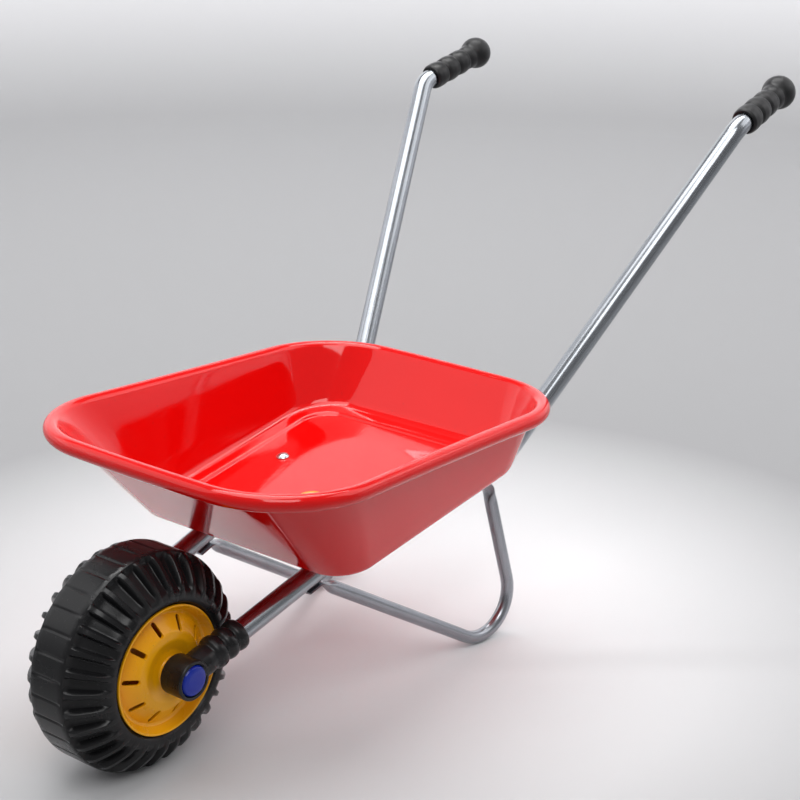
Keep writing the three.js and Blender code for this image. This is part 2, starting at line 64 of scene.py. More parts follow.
# ---------------------------------------------------------------- Tray
# One sheet of steel, pressed into a deep pan with a stepped floor, its edge rolled outwards into
# a hollow rim. It is dipped in glossy red enamel.
MM = 0.001
AXLE_TO_MIDDLE = np.array([0.0, -302.658, 0.0])  # every size here is measured from the axle
SHEET = 1.5
CORNER_STEPS, SIDE_STEPS = 20, 16
FLOOR = dict(front=119.6, rear=122.6, y0=119.6, y1=365.0, r_front=32.0, r_rear=44.0,
             z0=141.5, z1=175.2)
RIM = dict(front=153.7, rear=146.0, y0=19.2, y1=399.7, r_front=81.4, r_rear=77.0,
           z0=240.9, z1=221.3)
ROLL_RADIUS = 7.0 - SHEET / 2
STEP_DOWN = 2.5


def skin(name, grid, loop_rows=False, loop_columns=True, sharp=40.0, uv=None, spot=AXLE_TO_MIDDLE):
    """A surface through a grid of points in millimetres. Each cell of four neighbouring points is
    a face; the last column joins the first, and so does the last row where it loops. A row
    drawn together into one point closes an end. uv gives each point a length along and round."""
    rows, columns = grid.shape[:2]
    points = ((grid + spot) * MM).reshape(-1, 3)
    index = np.arange(rows * columns).reshape(rows, columns)
    across = np.roll(index, -1, 1) if loop_columns else index[:, 1:]
    here = index if loop_columns else index[:, :-1]
    below, below_across = np.roll(here, -1, 0), np.roll(across, -1, 0)
    last = None if loop_rows else -1
    faces = np.stack([here[:last], across[:last], below_across[:last], below[:last]], -1)
    mesh = bpy.data.meshes.new(name)
    mesh.from_pydata(points.tolist(), [], faces.reshape(-1, 4).tolist())
    if uv is not None:
        corner = np.empty(len(mesh.loops), dtype=np.int32)
        mesh.loops.foreach_get("vertex_index", corner)
        layer = mesh.uv_layers.new(name="along")
        layer.uv.foreach_set("vector", uv.reshape(-1, 2)[corner].astype(np.float32).ravel())
    weld(mesh, sharp)
    piece = bpy.data.objects.new(name, mesh)
    bpy.context.scene.collection.objects.link(piece)
    return piece


def weld(mesh, sharp):
    """Merges points at seams and poles, turns faces outwards, and shades smooth up to an angle."""
    work = bmesh.new()
    work.from_mesh(mesh)
    bmesh.ops.remove_doubles(work, verts=work.verts, dist=2e-6)
    bmesh.ops.dissolve_degenerate(work, edges=work.edges, dist=1e-7)
    bmesh.ops.recalc_face_normals(work, faces=work.faces)
    work.to_mesh(mesh)
    work.free()
    mesh.shade_smooth()
    mesh.set_sharp_from_angle(angle=math.radians(sharp))


def outline(box):
    """A trapezoid with round corners: on each corner the point is the corner's centre plus its
    radius along a direction that turns by a quarter turn; the sides are straight lines between."""
    half = np.array([box["rear"], box["rear"], box["front"], box["front"]])
    radius = np.array([box["r_rear"], box["r_rear"], box["r_front"], box["r_front"]])
    sign = np.array([1, -1, -1, 1])
    centre = np.stack([sign * (half - radius),
                       np.where(np.arange(4) < 2, box["y1"] - radius, box["y0"] + radius)], -1)
    turn = (np.arange(4)[:, None] + np.linspace(0, 1, CORNER_STEPS + 1)[None]) * math.pi / 2
    normal = np.stack([np.cos(turn), np.sin(turn)], -1)
    corner = centre[:, None] + radius[:, None, None] * normal
    t = np.linspace(0, 1, SIDE_STEPS + 1)[1:-1, None]
    side = corner[:, -1:] * (1 - t) + np.roll(corner, -1, 0)[:, :1] * t
    side_normal = normal[:, -1:] * (1 - t) + np.roll(normal, -1, 0)[:, :1] * t
    return (np.concatenate([corner, side], 1).reshape(-1, 2),
            np.concatenate([normal, side_normal], 1).reshape(-1, 2))


def floor_height(y):
    return FLOOR["z0"] + (y - FLOOR["y0"]) / (FLOOR["y1"] - FLOOR["y0"]) * (FLOOR["z1"] - FLOOR["z0"])


def tray_grid():
    """Rings of the sheet's middle, from the floor's centre outwards: a flat panel, a smooth step
    up to a ledge, a round fillet, a wall that is straight lines to the tangent of the roll, and
    the roll, which is a circle about the bowed rim line."""
    base, out = outline(FLOOR)
    rim, rim_out = outline(RIM)
    t = (rim[:, 1] - RIM["y0"]) / (RIM["y1"] - RIM["y0"])
    across = rim[:, 0] / (RIM["front"] + (RIM["rear"] - RIM["front"]) * t)
    middle = np.clip(1 - across ** 2, 0, None)
    rim = rim + np.stack([-3.0 * 4 * t * (1 - t) * across, middle * (3.2 * t - 4.4 * (1 - t))], -1)
    rim_z = RIM["z0"] + (RIM["z1"] - RIM["z0"]) * t
    lift = SHEET / 2

    def on_floor(offset, rise):
        flat = base + out * offset
        return np.concatenate([flat, (floor_height(flat[:, 1]) + rise)[:, None]], 1)

    def on_roll(angle):
        flat = rim + rim_out * (np.cos(angle) * ROLL_RADIUS)[:, None]
        return np.concatenate([flat, (rim_z + np.sin(angle) * ROLL_RADIUS)[:, None]], 1)

    centre_y = (FLOOR["y0"] + FLOOR["y1"]) / 2
    rings = [np.tile([0.0, centre_y, floor_height(centre_y) + lift - STEP_DOWN], (len(base), 1))]
    for share in (0.2, 0.4, 0.6, 0.8):
        edge = on_floor(-21.0, lift - STEP_DOWN)
        rings.append(rings[0] * (1 - share) + edge * share)
    for s in np.linspace(0, 1, 9):
        rings.append(on_floor(-18.6 + 4.4 * s, lift - STEP_DOWN * (0.5 + 0.5 * math.cos(math.pi * s))))
    corner = on_floor(0.0, lift)
    rise = rim_z - corner[:, 2]
    run = ((rim - base) * out).sum(1)
    lean = np.arctan2(run, rise) - np.arcsin(ROLL_RADIUS / np.hypot(run, rise))
    join = on_roll(math.pi - lean)
    wall = (join - corner) / np.linalg.norm(join - corner, axis=1, keepdims=True)
    start, end = on_floor(-6.0, lift), corner + wall * 7.0
    for s in np.linspace(0, 1, 9):
        rings.append(start * (1 - s) ** 2 + corner * 2 * s * (1 - s) + end * s ** 2)
    for s in np.linspace(0, 1, 7)[1:-1]:
        rings.append(end * (1 - s) + join * s)
    for s in np.linspace(0, 1, 25):
        angle = (math.pi - lean) * (1 - s) + math.radians(-165) * s
        rings.append(on_roll(angle))
    return np.stack(rings)


tray = skin("tray_pan", tray_grid(), sharp=60)
thickness = tray.modifiers.new("sheet", "SOLIDIFY")
thickness.thickness = SHEET * MM
thickness.offset = 0.0
thickness.use_even_offset = True
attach(tray, "frame")
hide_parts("tray")


def finish_group(name, outputs):
    """An empty shader group with a Vector, a Scale and a Strength to take in, and the outputs named."""
    group = bpy.data.node_groups.new(name, "ShaderNodeTree")
    group.interface.new_socket("Vector", in_out="INPUT", socket_type="NodeSocketVector")
    group.interface.new_socket("Scale", in_out="INPUT", socket_type="NodeSocketFloat")
    group.interface.new_socket("Strength", in_out="INPUT", socket_type="NodeSocketFloat")
    for label in outputs:
        group.interface.new_socket(label, in_out="OUTPUT", socket_type="NodeSocketFloat")
    return group, group.nodes.new("NodeGroupInput"), group.nodes.new("NodeGroupOutput")


def speckle_group():
    """Mottle: soft noise about one half. Specks: rare small spots, where a fine noise passes a limit."""
    group, take, give = finish_group("mottle_and_specks", ("Mottle", "Specks"))
    soft = group.nodes.new("ShaderNodeTexNoise")
    soft.inputs["Detail"].default_value = 4.0
    fine = group.nodes.new("ShaderNodeTexNoise")
    fine.inputs["Detail"].default_value = 1.0
    finer = group.nodes.new("ShaderNodeMath")
    finer.operation = "MULTIPLY"
    finer.inputs[1].default_value = 23.0
    limit = group.nodes.new("ShaderNodeMapRange")
    limit.inputs["From Min"].default_value = 0.72
    limit.inputs["From Max"].default_value = 0.78
    weigh = group.nodes.new("ShaderNodeMath")
    weigh.operation = "MULTIPLY"
    link = group.links.new
    link(take.outputs["Vector"], soft.inputs["Vector"])
    link(take.outputs["Scale"], soft.inputs["Scale"])
    link(take.outputs["Vector"], fine.inputs["Vector"])
    link(take.outputs["Scale"], finer.inputs[0])
    link(finer.outputs[0], fine.inputs["Scale"])
    link(fine.outputs[0], limit.inputs["Value"])
    link(limit.outputs[0], weigh.inputs[0])
    link(take.outputs["Strength"], weigh.inputs[1])
    link(soft.outputs[0], give.inputs["Mottle"])
    link(weigh.outputs[0], give.inputs["Specks"])
    return group


SPECKLE = speckle_group()


class Finish:
    """One material: a Principled shader, Object coordinates, and short ways to wire masks into it."""

    def __init__(self, name, color, roughness, metallic=0.0, shine=0.5):
        self.material = bpy.data.materials.new(name)
        self.material.use_nodes = True
        self.tree = self.material.node_tree
        self.shader = self.tree.nodes["Principled BSDF"]
        self.shader.inputs["Base Color"].default_value = (*color, 1)
        self.shader.inputs["Roughness"].default_value = roughness
        self.shader.inputs["Metallic"].default_value = metallic
        self.shader.inputs["Specular IOR Level"].default_value = shine
        self.place = self.tree.nodes.new("ShaderNodeTexCoord").outputs["Object"]

    def add(self, kind, **settings):
        node = self.tree.nodes.new(kind)
        for key, value in settings.items():
            setattr(node, key, value)
        return node

    def link(self, start, end):
        self.tree.links.new(start, end)

    def speckle(self, scale, strength, vector=None):
        """Mottle and specks at this scale, from the shared group."""
        node = self.add("ShaderNodeGroup", node_tree=SPECKLE)
        node.inputs["Scale"].default_value = scale
        node.inputs["Strength"].default_value = strength
        self.link(vector or self.place, node.inputs["Vector"])
        return node.outputs["Mottle"], node.outputs["Specks"]

    def spread(self, mask, low, high, start=0.3, end=0.7):
        """The mask between start and end, spread from low to high."""
        node = self.add("ShaderNodeMapRange")
        for key, value in zip(("From Min", "From Max", "To Min", "To Max"), (start, end, low, high)):
            node.inputs[key].default_value = value
        self.link(mask, node.inputs["Value"])
        return node.outputs[0]

    def blend(self, mask, first, second):
        """A colour that goes from first to second with the mask. Either may be a colour or a socket."""
        node = self.add("ShaderNodeMix", data_type="RGBA")
        for socket, value in ((node.inputs[6], first), (node.inputs[7], second)):
            if isinstance(value, tuple):
                socket.default_value = (*value, 1)
            else:
                self.link(value, socket)
        self.link(mask, node.inputs[0])
        return node.outputs[2]

    def color(self, socket):
        self.link(socket, self.shader.inputs["Base Color"])

    def roughness(self, socket):
        self.link(socket, self.shader.inputs["Roughness"])

    def bump(self, height, strength, distance):
        """A height in the shader's normal; a second call stacks on the first."""
        node = self.add("ShaderNodeBump")
        node.inputs["Strength"].default_value = strength
        node.inputs["Distance"].default_value = distance
        self.link(height, node.inputs["Height"])
        if self.shader.inputs["Normal"].is_linked:
            self.link(self.shader.inputs["Normal"].links[0].from_socket, node.inputs["Normal"])
        self.link(node.outputs["Normal"], self.shader.inputs["Normal"])

    def on(self, *pieces):
        for piece in pieces:
            if not piece.material_slots:
                piece.data.materials.append(self.material)
            for place in piece.material_slots:
                place.material = self.material


enamel = Finish("red_enamel", (0.78, 0.0012, 0.0012), 0.10)
mottle, specks = enamel.speckle(9.0, 0.12)
enamel.color(enamel.blend(specks, enamel.blend(mottle, (0.74, 0.0015, 0.0012), (0.66, 0.001, 0.001)),
                          (0.25, 0.02, 0.015)))
enamel.roughness(enamel.spread(mottle, 0.045, 0.085))
peel, _ = enamel.speckle(190.0, 0.0)
enamel.bump(peel, 0.02, 0.0003)
enamel.on(tray)

# ---------------------------------------------------------------- Floor label
# A round vinyl sticker in the middle of the floor, with a plain ring and a plain disc printed on
# it. It is rolled down flat onto the enamel.
label_y, label_radius = 212.0, 14.0
FLOOR_UP = np.array([0.0, -(FLOOR["z1"] - FLOOR["z0"]) / (FLOOR["y1"] - FLOOR["y0"]), 1.0])
FLOOR_UP = FLOOR_UP / np.linalg.norm(FLOOR_UP)


def turned(name, profile, centre, axis, steps=64, **how):
    """A turned piece: each pair is a distance along the axis and a radius, swept round the axis.
    The end points lie on the axis, or the profile comes back to its start."""
    profile = np.asarray(profile, float)
    axis = np.asarray(axis, float) / np.linalg.norm(axis)
    helper = np.array([0.0, 0.0, 1.0]) if abs(axis[2]) < 0.9 else np.array([1.0, 0.0, 0.0])
    side = np.cross(helper, axis)
    side = side / np.linalg.norm(side)
    third = np.cross(axis, side)
    angle = np.linspace(0, 2 * math.pi, steps, endpoint=False)
    ring = np.cos(angle)[:, None] * side + np.sin(angle)[:, None] * third
    grid = (np.asarray(centre, float) + profile[:, :1, None] * axis
            + profile[:, 1:2, None] * ring[None])
    return skin(name, grid, **how)


def rounded(points, radius, steps=4):
    """A profile with every inner corner rounded: the corner becomes a curve between two points that
    lie a radius away from it, or a third of the way along a shorter side."""
    points = np.asarray(points, float)
    before, at, after = points[:-2], points[1:-1], points[2:]
    back, ahead = before - at, after - at
    reach = np.minimum(radius, np.minimum(np.linalg.norm(back, axis=1), np.linalg.norm(ahead, axis=1)) / 3)
    start = at + back / np.linalg.norm(back, axis=1, keepdims=True) * reach[:, None]
    end = at + ahead / np.linalg.norm(ahead, axis=1, keepdims=True) * reach[:, None]
    s = np.linspace(0, 1, steps + 1)[None, :, None]
    curve = start[:, None] * (1 - s) ** 2 + at[:, None] * 2 * s * (1 - s) + end[:, None] * s ** 2
    return np.concatenate([points[:1], curve.reshape(-1, 2), points[-1:]])


label_centre = [0.0, label_y, floor_height(label_y) + SHEET - STEP_DOWN]
label_profile = [(0.15, 0), (0.15, label_radius - 0.1), (0.5, label_radius), (0.7, label_radius - 0.3),
                 (0.72, 0)]
label = turned("floor_sticker", label_profile, label_centre, FLOOR_UP, steps=96)
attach(label, "frame")
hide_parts("floor_label")
vinyl = Finish("printed_vinyl", (0.9, 0.55, 0.08), 0.35)
ring_centre = vinyl.add("ShaderNodeMapping")
ring_centre.inputs["Location"].default_value = tuple(-(np.array(label_centre) + AXLE_TO_MIDDLE) * MM)
vinyl.link(vinyl.place, ring_centre.inputs["Vector"])
distance = vinyl.add("ShaderNodeVectorMath", operation="LENGTH")
vinyl.link(ring_centre.outputs[0], distance.inputs[0])
ring = vinyl.add("ShaderNodeValToRGB")
ring.color_ramp.interpolation = "CONSTANT"
stops = ring.color_ramp.elements
stops[0].color = (0.85, 0.30, 0.03, 1)
stops[1].position, stops[1].color = 0.45, (0.92, 0.80, 0.45, 1)
outer_stop = stops.new(0.82)
outer_stop.color = (0.88, 0.42, 0.05, 1)
vinyl.link(vinyl.spread(distance.outputs["Value"], 0, 1, 0, label_radius * MM), ring.inputs["Fac"])
grain, _ = vinyl.speckle(300.0, 0.0)
vinyl.color(vinyl.blend(vinyl.spread(grain, 0, 0.15), ring.outputs["Color"], (0.6, 0.3, 0.1)))
vinyl.bump(grain, 0.05, 0.0002)
vinyl.on(label)

# ---------------------------------------------------------------- Tray bolts
# Two mushroom-headed bolts go down through the floor and the tubes into nuts. They are bright zinc.
# The heads are rolled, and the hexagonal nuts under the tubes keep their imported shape.
FRONT_BEND = np.array([64.4, 191.7, 139.4])
REAR_BEND = np.array([88.2, 369.3, 163.8])
TUBE_RADIUS = 9.0
BOLT_Y = 261.0
bolt_share = (BOLT_Y - FRONT_BEND[1]) / (REAR_BEND[1] - FRONT_BEND[1])
bolt_place = FRONT_BEND + (REAR_BEND - FRONT_BEND) * bolt_share
panel_top = floor_height(BOLT_Y) + SHEET - STEP_DOWN - bolt_place[2]
SIDES = (("left", np.array([1.0, 1.0, 1.0])), ("right", np.array([-1.0, 1.0, 1.0])))
bolt_profile = rounded([(-17.3, 0), (-17.3, 2.4), (panel_top + 0.1, 2.4), (panel_top + 0.1, 5.9),
                        (panel_top + 0.9, 5.9), (panel_top + 2.4, 4.2), (panel_top + 3.1, 1.8),
                        (panel_top + 3.1, 0)], 0.7)

zinc = Finish("zinc_plate", (0.66, 0.67, 0.69), 0.28, metallic=1.0)
cloud, spots = zinc.speckle(60.0, 0.5)
zinc.color(zinc.blend(spots, zinc.blend(cloud, (0.72, 0.73, 0.75), (0.55, 0.56, 0.59)), (0.3, 0.29, 0.27)))
zinc.roughness(zinc.spread(cloud, 0.2, 0.38))
zinc.bump(cloud, 0.12, 0.0003)
for side, flip in SIDES:
    bolt = turned(f"tray_bolt_head_{side}", bolt_profile, bolt_place * flip, FLOOR_UP, steps=48)
    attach(bolt, "frame")
    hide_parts(f"tray_bolt_{side}")
    zinc.on(bolt)
    zinc.on(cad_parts[f"tray_nut_{side}"])

# ---------------------------------------------------------------- Frame tubes
# Each side is one round steel tube, bent cold at three places: under the tray's front, under its
# rear, and at the grip. It is polished along its length and chrome plated.
AXLE_POINT = np.array([55.0, 0.0, 90.0])
GRIP_BEND = np.array([178.8, 597.2, 439.3])
GRIP_MOUTH = np.array([178.3, 607.9, 441.9])
GRIP_WAY = np.array([-0.049, 0.971, 0.232])
GRIP_WAY = GRIP_WAY / np.linalg.norm(GRIP_WAY)
FRONT_WAY = (FRONT_BEND - AXLE_POINT) / np.linalg.norm(FRONT_BEND - AXLE_POINT)
UNDER_WAY = (REAR_BEND - FRONT_BEND) / np.linalg.norm(REAR_BEND - FRONT_BEND)


def bent_line(corners, radii, steps):
    """Points and directions along straight runs whose corners are arcs: an arc starts a reach of
    radius times the tangent of half the turn before its corner, and turns evenly."""
    corners = np.asarray(corners, float)
    ways = np.diff(corners, axis=0)
    ways = ways / np.linalg.norm(ways, axis=1, keepdims=True)
    points, directions = [corners[:1]], [ways[:1]]
    for corner, before, after, radius in zip(corners[1:-1], ways[:-1], ways[1:], radii):
        turn = math.acos(float(np.clip(before @ after, -1, 1)))
        start = corner - before * radius * math.tan(turn / 2)
        inward = after - before * math.cos(turn)
        inward = inward / np.linalg.norm(inward)
        a = np.linspace(0, turn, steps)[:, None]
        points.append(start + radius * (np.sin(a) * before + (1 - np.cos(a)) * inward))
        directions.append(np.cos(a) * before + np.sin(a) * inward)
    points.append(corners[-1:])
    directions.append(ways[-1:])
    return np.concatenate(points), np.concatenate(directions)


def swept(name, points, directions, wide, thick, level, flip, steps=48):
    """A tube along a line: each ring is an oval of half sizes wide and thick in the plane square to
    the line, its wide way as near as possible to level. Both ends draw together into a point."""
    wide = np.broadcast_to(wide, len(points)).astype(float)
    thick = np.broadcast_to(thick, len(points)).astype(float)
    across = level - (directions @ level)[:, None] * directions
    across = across / np.linalg.norm(across, axis=1, keepdims=True)
    upward = np.cross(across, directions)
    a = np.linspace(0, 2 * math.pi, steps, endpoint=False)
    rings = (points[:, None] + np.cos(a)[None, :, None] * across[:, None] * wide[:, None, None]
             + np.sin(a)[None, :, None] * upward[:, None] * thick[:, None, None])
    ends = [np.repeat(p[None, None], steps, 1) for p in (points[0], points[-1])]
    grid = np.concatenate([ends[0], rings, ends[1]]) * flip
    run = np.concatenate([[0.0], np.cumsum(np.linalg.norm(np.diff(points, axis=0), axis=1))])
    run = np.concatenate([run[:1], run, run[-1:]]) * MM
    uv = np.stack(np.meshgrid(run, a / (2 * math.pi), indexing="ij"), -1)
    return skin(name, grid, uv=uv)


def plated(name, color, roughness):
    """Bright plate over polished steel: fine lines along the tube from its length-and-round map,
    a soft mottle in colour and gloss, and rare pits."""
    plate = Finish(name, color, roughness, metallic=1.0)
    along = plate.add("ShaderNodeUVMap", uv_map="along").outputs["UV"]
    pull = plate.add("ShaderNodeMapping")
    pull.inputs["Scale"].default_value = (6.0, 90.0, 1.0)
    plate.link(along, pull.inputs["Vector"])
    lines, _ = plate.speckle(3.0, 0.0, pull.outputs[0])
    cloud, pits = plate.speckle(26.0, 0.6)
    dull = tuple(c * 0.86 for c in color)
    plate.color(plate.blend(pits, plate.blend(plate.spread(cloud, 0, 1), color, dull),
                            (0.25, 0.23, 0.21)))
    plate.roughness(plate.spread(lines, roughness * 0.7, roughness * 1.5))
    plate.bump(lines, 0.05, 0.0002)
    return plate


chrome = plated("bright_chrome", (0.38, 0.40, 0.43), 0.20)
SOCKET_START, GRIP_DEPTH = 20.0, 58.0
tube_level = np.array([1.0, 0.0, 0.0])
TUBE_BENDS = [140.0, 38.0, 27.0]
tube_start = AXLE_POINT + FRONT_WAY * SOCKET_START
tube_end = GRIP_MOUTH + GRIP_WAY * GRIP_DEPTH
line, ways = bent_line([tube_start, FRONT_BEND, REAR_BEND, GRIP_BEND, tube_end], TUBE_BENDS, 17)
for side, flip in SIDES:
    tube = swept(f"main_tube_{side}", line, ways, TUBE_RADIUS, TUBE_RADIUS, tube_level, flip)
    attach(tube, "frame")
    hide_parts(f"frame_tube_{side}")
    chrome.on(tube)

# ---------------------------------------------------------------- Legs
# Each leg is one thin tube bent into a V with a round foot. Its two ends are pressed flat and
# riveted under the main tube. The plate on them is a little greyer than on the main tubes.
LEG_RADIUS, TAB_WIDE, TAB_THICK = 5.8, 8.0, 1.1
TAB_DROP = TUBE_RADIUS + 0.3 + TAB_THICK


def under_tube(point, way):
    """The point on a tab's middle: straight out of the tube's underside, square to its run."""
    level = np.cross([0.0, 0.0, 1.0], way)
    upward = np.cross(way, level / np.linalg.norm(level))
    return point - upward * TAB_DROP


FRONT_TAB, REAR_TAB = (131.0, 147.0), (349.0, 327.0)  # each flat end's tip or bend, behind the axle
FOOT_CORNER = (104.0, 390.8, -36.2)
TAB_BEND, FOOT_BEND = 9.0, 37.05
front_at = [under_tube(AXLE_POINT + FRONT_WAY * y / FRONT_WAY[1], FRONT_WAY) for y in FRONT_TAB]
rear_at = [under_tube(FRONT_BEND + UNDER_WAY * (y - FRONT_BEND[1]) / UNDER_WAY[1], UNDER_WAY)
           for y in REAR_TAB]
line, ways = bent_line([front_at[0], front_at[1], FOOT_CORNER, rear_at[0], rear_at[1]],
                       [TAB_BEND, FOOT_BEND, TAB_BEND], 15)
# The straight parts get rings of their own where a flat end swells into the round tube. The first
# bend ends at ring 15, and the last bend starts sixteen rings before the end.
swell = np.array([0.0, 3.0, 6.0, 9.0, 12.0, 15.0])[:, None]
first, last = 15, len(line) - 16
round_share = np.concatenate([np.zeros(first + 1), swell[1:, 0] / 15, np.ones(15), swell[:0:-1, 0] / 15,
                              np.zeros(len(line) - last)])
line = np.concatenate([line[:first + 1], line[first] + swell[1:] * ways[first], line[first + 1:last],
                       line[last] - swell[:0:-1] * ways[last], line[last:]])
ways = np.concatenate([ways[:first + 1], np.repeat(ways[first:first + 1], 5, 0), ways[first + 1:last],
                       np.repeat(ways[last:last + 1], 5, 0), ways[last:]])
round_share = 0.5 - 0.5 * np.cos(math.pi * round_share)
leg_level = np.array([0.991, -0.117, 0.071])
leg_plate = plated("leg_plate", (0.34, 0.35, 0.38), 0.24)
for side, flip in SIDES:
    leg = swept(f"leg_tube_{side}", line, ways, TAB_WIDE + (LEG_RADIUS - TAB_WIDE) * round_share,
                TAB_THICK + (LEG_RADIUS - TAB_THICK) * round_share, leg_level, flip, steps=40)
    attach(leg, "frame")
    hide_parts(f"leg_{side}")
    leg_plate.on(leg)
    zinc.on(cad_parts[f"leg_rivet_front_{side}"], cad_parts[f"leg_rivet_rear_{side}"])

# ---------------------------------------------------------------- Grips
# Moulded black vinyl sleeves pushed over the tubes' ends: a flared mouth, two rings to hold and a
# ball at the end. The mould leaves a satin skin with a fine grain.
ball = np.radians(np.linspace(-42, 90, 16))
grip_profile = np.concatenate([
    rounded([(1.5, 0), (1.5, 9.15), (0.2, 9.4), (0, 11.2), (2.0, 12.4), (8, 12.9), (14.5, 12.4),
             (17.5, 10.4), (20.5, 12.2), (26.5, 12.8), (32.5, 12.2), (35.5, 10.3), (38.5, 11.9),
             (44.5, 12.4), (50, 11.8), (52.8, 10.2), (56, 11.4), (61, 12.0)], 1.5, 5),
    np.stack([73 + 15.8 * np.sin(ball), 15.8 * np.cos(ball)], -1)])
vinyl_black = Finish("black_vinyl", (0.006, 0.006, 0.0065), 0.34, shine=0.36)
soft, dust = vinyl_black.speckle(34.0, 0.35)
skin_tone = vinyl_black.blend(soft, (0.006, 0.006, 0.0065), (0.010, 0.010, 0.011))
vinyl_black.color(vinyl_black.blend(dust, skin_tone, (0.10, 0.095, 0.09)))
vinyl_black.roughness(vinyl_black.spread(soft, 0.27, 0.46))
grain, _ = vinyl_black.speckle(900.0, 0.0)
vinyl_black.bump(grain, 0.12, 0.0002)
for side, flip in SIDES:
    grip = turned(f"hand_grip_{side}", grip_profile, GRIP_MOUTH * flip, GRIP_WAY * flip, steps=72, sharp=50)
    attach(grip, "frame")
    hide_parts(f"grip_{side}")
    vinyl_black.on(grip)

# ---------------------------------------------------------------- Axle holders
# Moulded black plastic: a round boss that takes the axle, and an arm with three raised rings that
# takes the tube's front end. A small hole on the arm's underside is left by the mould's pin.
AXLE_CENTRE = np.array([0.0, 0.0, 90.0])
ALONG_X = np.array([1.0, 0.0, 0.0])


def joined(piece, tool, operation, sharp=38.0):
    """The union or the difference of two closed pieces, kept as plain faces in the first one."""
    change = piece.modifiers.new("shape", "BOOLEAN")
    change.operation = operation
    change.solver = "EXACT"
    change.object = tool
    bpy.context.view_layer.update()
    result = bpy.data.meshes.new_from_object(piece.evaluated_get(bpy.context.evaluated_depsgraph_get()))
    piece.modifiers.clear()
    piece.data = result
    bpy.data.objects.remove(tool)
    weld(result, sharp)
    return piece


boss_profile = rounded([(46, 4.3), (46, 15.4), (46.8, 16.2), (66.6, 16.2), (67.6, 15.3), (67.6, 13.9),
                        (66.9, 13.2), (63.8, 13.1), (63.8, 4.3), (46, 4.3)], 0.6)[:-1]
arm_profile = rounded([(10, 0), (10, 11.9), (22, 12.2), (28, 11.4), (30.5, 13.4), (34, 14.0), (37.5, 13.4),
                       (39.7, 11.1), (42.5, 13.0), (46, 13.6), (49.2, 13.0), (51.4, 10.9), (54, 12.7),
                       (58, 13.2), (60.8, 12.4), (61.8, 11.0), (61.8, 9.4), (19.7, 9.4), (19.7, 0)],
                      1.2, 5)
black_plastic = Finish("holder_nylon", (0.006, 0.006, 0.0065), 0.33, shine=0.36)
soft, dust = black_plastic.speckle(40.0, 0.4)
skin_tone = black_plastic.blend(soft, (0.006, 0.006, 0.0065), (0.010, 0.010, 0.011))
black_plastic.color(black_plastic.blend(dust, skin_tone, (0.10, 0.10, 0.10)))
black_plastic.roughness(black_plastic.spread(soft, 0.22, 0.40))
black_plastic.bump(black_plastic.speckle(700.0, 0.0)[0], 0.08, 0.0002)
pin_way = np.array([0.8, -0.25, -0.55])
for side, flip in SIDES:
    holder = turned(f"axle_boss_{side}", boss_profile, AXLE_CENTRE, ALONG_X * flip, steps=80,
                    loop_rows=True)
    arm = turned("arm", arm_profile, AXLE_POINT * flip, FRONT_WAY * flip, steps=72)
    joined(holder, arm, "UNION")
    pin = turned("pin", [(8.5, 0), (8.5, 2.2), (20, 2.4), (20, 0)], (AXLE_POINT + FRONT_WAY * 40.0) * flip,
                 pin_way * flip, steps=32)
    joined(holder, pin, "DIFFERENCE")
    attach(holder, "frame")
    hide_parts(f"axle_holder_{side}")
    black_plastic.on(holder)

# ---------------------------------------------------------------- Hub caps
# Blue plastic push caps snap over the axle's ends. Each is a shallow glossy dome that sits in the
# boss with a narrow dark gap round it.
cap_profile = rounded([(63.9, 0), (63.9, 12.4), (66.4, 12.5), (68.1, 11.3), (68.9, 8.0), (69.3, 3.0),
                       (69.3, 0)], 2.4, 8)
blue = Finish("blue_cap", (0.0015, 0.018, 0.30), 0.12, shine=0.4)
soft, dust = blue.speckle(50.0, 0.4)
skin_tone = blue.blend(soft, (0.0012, 0.016, 0.28), (0.002, 0.021, 0.33))
blue.color(blue.blend(dust, skin_tone, (0.12, 0.15, 0.35)))
blue.roughness(blue.spread(soft, 0.11, 0.22))
for side, flip in SIDES:
    cap = turned(f"hub_cap_dome_{side}", cap_profile, AXLE_CENTRE, ALONG_X * flip, steps=96, sharp=50)
    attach(cap, "frame")
    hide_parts(f"axle_cap_{side}")
    blue.on(cap)

# ---------------------------------------------------------------- Axle, washers and sleeve
# A plain zinc rod carries the wheel between two zinc washers, inside a sleeve of natural nylon.
# They are turned and stamped parts without any shape of their own to add.
zinc.on(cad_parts["axle"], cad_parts["hub_washer_left"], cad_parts["hub_washer_right"])
nylon = Finish("natural_nylon", (0.62, 0.60, 0.53), 0.45)
soft, dust = nylon.speckle(60.0, 0.3)
skin_tone = nylon.blend(soft, (0.64, 0.62, 0.55), (0.55, 0.53, 0.46))
nylon.color(nylon.blend(dust, skin_tone, (0.35, 0.33, 0.29)))
nylon.roughness(nylon.spread(soft, 0.38, 0.55))
nylon.on(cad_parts["hub_sleeve"])

